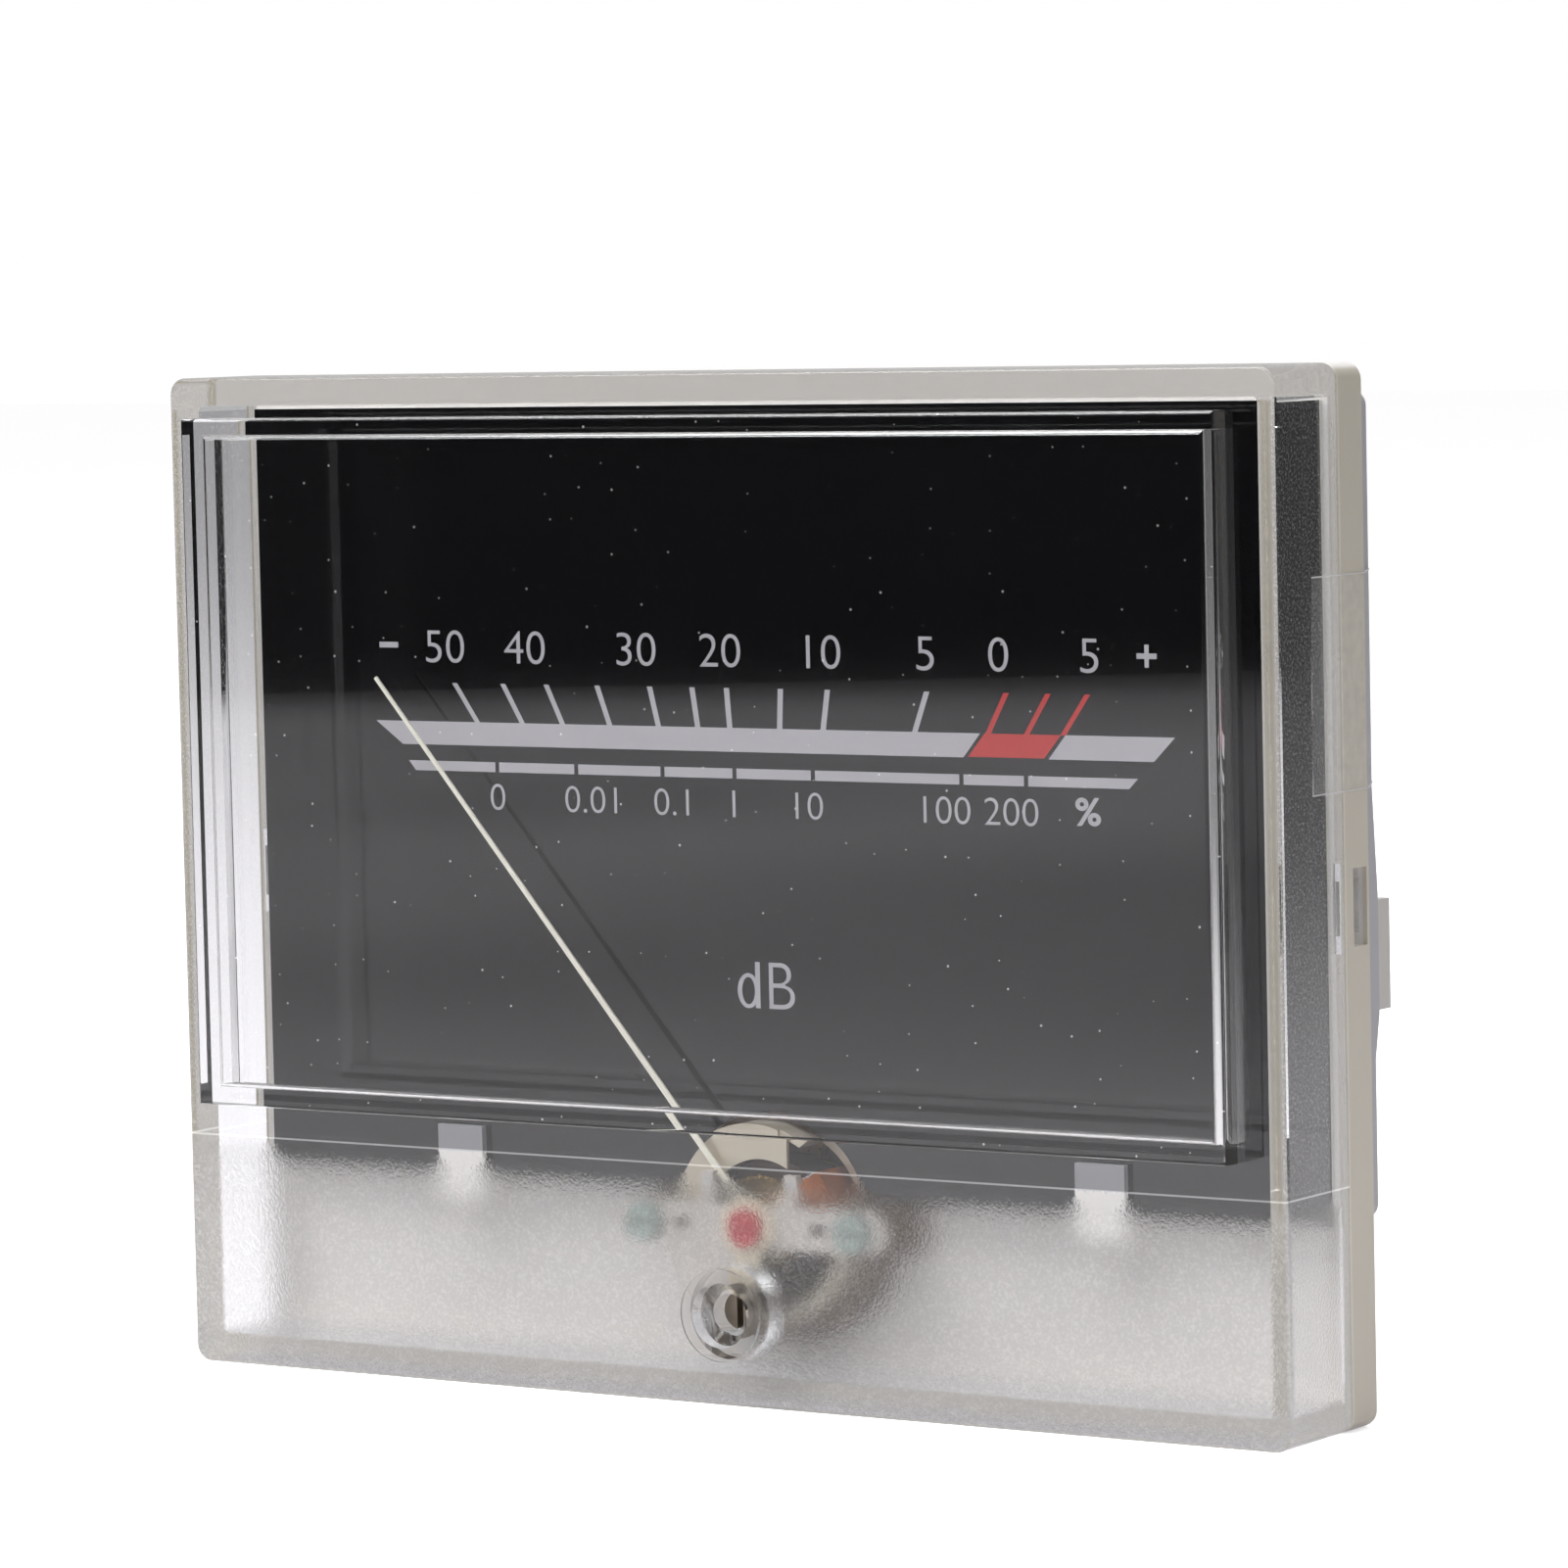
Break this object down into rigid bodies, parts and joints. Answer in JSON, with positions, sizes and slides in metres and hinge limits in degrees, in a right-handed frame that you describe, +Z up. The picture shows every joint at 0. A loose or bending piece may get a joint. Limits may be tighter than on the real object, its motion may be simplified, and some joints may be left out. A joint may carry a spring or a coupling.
{
  "type": "analog panel level meter",
  "caption": "Rectangular panel meter with a clear stepped cover, black printed dial, swinging pointer, pivoted moving-coil movement, milky rear case and zero adjuster.",
  "frame": {"origin": "middle of the box that the meter stands in, at its foot: halfway across, halfway back, at the lowest point", "axes": "+X to the right seen from the front, +Y from the dial to the back, +Z up"},
  "size_m": [0.0901, 0.0214, 0.0706],
  "materials": {
    "clear_acrylic": "polished clear moulding, frosted on the inside of its lower band",
    "clear_film": "thin clear film",
    "milky_plastic": "translucent milky moulding",
    "grey_plastic": "satin grey moulding",
    "black_print": "satin black printed sheet",
    "white_sheet": "matte milky sheet",
    "white_board": "lacquered circuit board",
    "lamp_resin": "clear yellowish lamp resin",
    "pale_terminal": "pale grey connector moulding",
    "nickel": "satin nickel plate",
    "dark_nickel": "dull nickel plate",
    "zinc": "pale zinc plate",
    "steel": "bright steel",
    "brass": "bright brass",
    "copper_wire": "lacquered copper wire",
    "aluminium": "thin pressed sheet",
    "magnet_brown": "dark sintered magnet",
    "brown_resin": "brown moulded resin",
    "cream_paint": "cream painted aluminium",
    "white_plastic": "white moulding",
    "cream_plastic": "cream moulding",
    "red_lacquer": "red sealing lacquer",
    "jewel": "polished synthetic stone"
  },
  "bodies": {
    "case": {"front_cover": "clear_acrylic", "dial_plate": "black_print", "dial_diffuser": "white_sheet", "rear_housing": "milky_plastic", "back_cover": "grey_plastic", "case_screws": "steel", "lamp_board": "white_board", "lamps": "lamp_resin", "board_screws": "steel", "terminal_block": "pale_terminal", "terminal_pins": "brass", "movement_base": "brown_resin", "magnet_yoke": "nickel", "core_holder": "brass", "magnet_core": "magnet_brown", "front_bridge": "white_plastic", "bridge_screws": "zinc", "front_jewel_screw": "red_lacquer", "front_jewel": "jewel", "rear_jewel_screw": "brass", "rear_jewel": "jewel", "pointer_stops": "steel", "front_hairspring": "brass", "rear_hairspring": "brass", "side_tape": "clear_film"},
    "moving_element": {"coil_former": "aluminium", "coil_winding": "copper_wire", "front_pivot": "steel", "rear_pivot": "steel", "pointer": "cream_paint", "balance_weights": "brass"},
    "adjuster": {"zero_adjuster": "dark_nickel"},
    "lever": {"zero_lever": "cream_plastic"}
  },
  "joints": [
    {"name": "pointer_swing", "type": "hinge", "parent": "case", "child": "moving_element", "pos_m": [0.0007, -0.00258, 0.01185], "axis": [0, 1, 0], "range_deg": [-0.5, 81], "stiffness_Nm_per_rad": 0.000002, "deforming": ["front_hairspring", "rear_hairspring"]},
    {"name": "zero_screw_turn", "type": "hinge", "parent": "case", "child": "adjuster", "pos_m": [0.0007, -0.00547, 0.00623], "axis": [0, 1, 0], "range_deg": [-30, 30]},
    {"name": "zero_lever_swing", "type": "hinge", "parent": "case", "child": "lever", "pos_m": [0.0007, -0.00378, 0.01185], "axis": [0, 1, 0], "range_deg": [-3.5, 3.5]}
  ],
  "couplings": [
    {"joint": "zero_lever_swing", "follows": "zero_screw_turn", "ratio": -0.1125}
  ]
}
